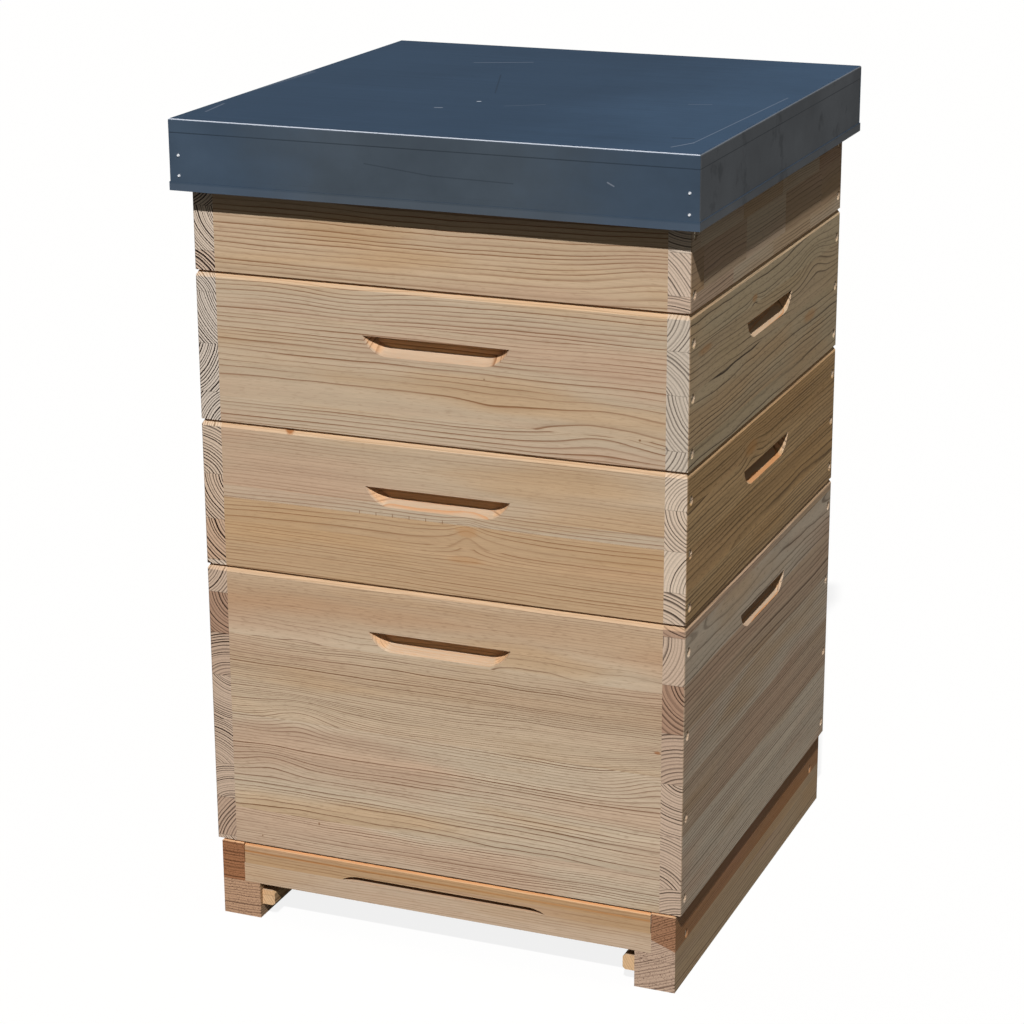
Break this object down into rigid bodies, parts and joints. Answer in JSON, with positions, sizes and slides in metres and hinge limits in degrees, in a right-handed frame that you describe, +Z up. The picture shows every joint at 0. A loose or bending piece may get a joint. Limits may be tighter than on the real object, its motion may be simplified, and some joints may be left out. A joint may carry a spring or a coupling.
{
  "type": "dadant beehive",
  "caption": "Stacked wooden beehive with milled hand holds, shallow supers over a deep brood box, hanging frames, mesh floor with entrance block and a flat folded metal roof.",
  "frame": {"origin": "on the ground at the middle of the hive's footprint", "axes": "+X to the hive's right, +Y to its back with the entrance at -Y, +Z up"},
  "size_m": [0.5312, 0.5414, 0.8328],
  "materials": {
    "pine": "planed bare softwood",
    "larch": "planed bare heartwood",
    "frame_wood": "planed bare wood",
    "cover_wood": "planed bare wood",
    "plywood": "sealed plywood",
    "wax": "pressed beeswax",
    "screw_zinc": "zinc plated",
    "mesh_steel": "galvanised",
    "tray_plastic": "satin sheet",
    "roof_paint": "coated sheet",
    "rivet_aluminium": "plain",
    "insulation": "wood-fibre board"
  },
  "bodies": {
    "floor": {"floor_back_bar": "larch", "floor_back_sill": "larch", "floor_front_sill": "larch", "floor_left_batten": "larch", "floor_left_rail": "larch", "floor_left_runner": "larch", "floor_mesh_cross_wires": "mesh_steel", "floor_mesh_long_wires": "mesh_steel", "floor_right_batten": "larch", "floor_right_rail": "larch", "floor_right_runner": "larch", "floor_screws": "screw_zinc"},
    "entrance_block": {"entrance_block": "larch"},
    "inspection_tray": {"inspection_tray": "tray_plastic"},
    "brood_box": {"brood_front_board": "pine", "brood_back_board": "pine", "brood_left_board": "pine", "brood_right_board": "pine", "brood_screws": "screw_zinc"},
    "brood_frames": {"brood_top_bars": "frame_wood", "brood_end_bars": "frame_wood", "brood_bottom_bars": "frame_wood", "brood_foundations": "wax"},
    "lower_super": {"lower_super_front_board": "pine", "lower_super_back_board": "pine", "lower_super_left_board": "pine", "lower_super_right_board": "pine", "lower_super_screws": "screw_zinc"},
    "lower_super_frames": {"lower_super_top_bars": "frame_wood", "lower_super_end_bars": "frame_wood", "lower_super_bottom_bars": "frame_wood", "lower_super_foundations": "wax"},
    "upper_super": {"upper_super_front_board": "pine", "upper_super_back_board": "pine", "upper_super_left_board": "pine", "upper_super_right_board": "pine", "upper_super_screws": "screw_zinc"},
    "upper_super_frames": {"upper_super_top_bars": "frame_wood", "upper_super_end_bars": "frame_wood", "upper_super_bottom_bars": "frame_wood", "upper_super_foundations": "wax"},
    "feeder": {"feeder_front_board": "pine", "feeder_back_board": "pine", "feeder_left_board": "pine", "feeder_right_board": "pine", "feeder_screws": "screw_zinc", "feeder_floor": "plywood", "feeder_passage": "plywood"},
    "feeder_cap": {"feeder_cap": "plywood"},
    "inner_cover": {"inner_cover_panel": "cover_wood", "inner_cover_left_cleat": "cover_wood", "inner_cover_right_cleat": "cover_wood"},
    "roof": {"roof_sheet": "roof_paint", "roof_insulation": "insulation", "roof_rivets": "rivet_aluminium"}
  },
  "joints": [
    {"name": "entrance_block_pull", "type": "slide", "parent": "floor", "child": "entrance_block", "axis": [0, -1, 0], "range_m": [0, 0.06]},
    {"name": "inspection_tray_pull", "type": "slide", "parent": "floor", "child": "inspection_tray", "axis": [0, 1, 0], "range_m": [0, 0.4]},
    {"name": "brood_box_lift", "type": "slide", "parent": "floor", "child": "brood_box", "axis": [0, 0, 1], "range_m": [0, 0.2]},
    {"name": "brood_frames_lift", "type": "slide", "parent": "brood_box", "child": "brood_frames", "axis": [0, 0, 1], "range_m": [0, 0.32]},
    {"name": "lower_super_lift", "type": "slide", "parent": "brood_frames", "child": "lower_super", "axis": [0, 0, 1], "range_m": [0, 0.2]},
    {"name": "lower_super_frames_lift", "type": "slide", "parent": "lower_super", "child": "lower_super_frames", "axis": [0, 0, 1], "range_m": [0, 0.17]},
    {"name": "upper_super_lift", "type": "slide", "parent": "lower_super_frames", "child": "upper_super", "axis": [0, 0, 1], "range_m": [0, 0.2]},
    {"name": "upper_super_frames_lift", "type": "slide", "parent": "upper_super", "child": "upper_super_frames", "axis": [0, 0, 1], "range_m": [0, 0.17]},
    {"name": "feeder_lift", "type": "slide", "parent": "upper_super_frames", "child": "feeder", "axis": [0, 0, 1], "range_m": [0, 0.2]},
    {"name": "feeder_cap_lift", "type": "slide", "parent": "feeder", "child": "feeder_cap", "axis": [0, 0, 1], "range_m": [0, 0.1]},
    {"name": "inner_cover_lift", "type": "slide", "parent": "feeder_cap", "child": "inner_cover", "axis": [0, 0, 1], "range_m": [0, 0.1]},
    {"name": "roof_lift", "type": "slide", "parent": "inner_cover", "child": "roof", "axis": [0, 0, 1], "range_m": [0, 0.15]}
  ]
}
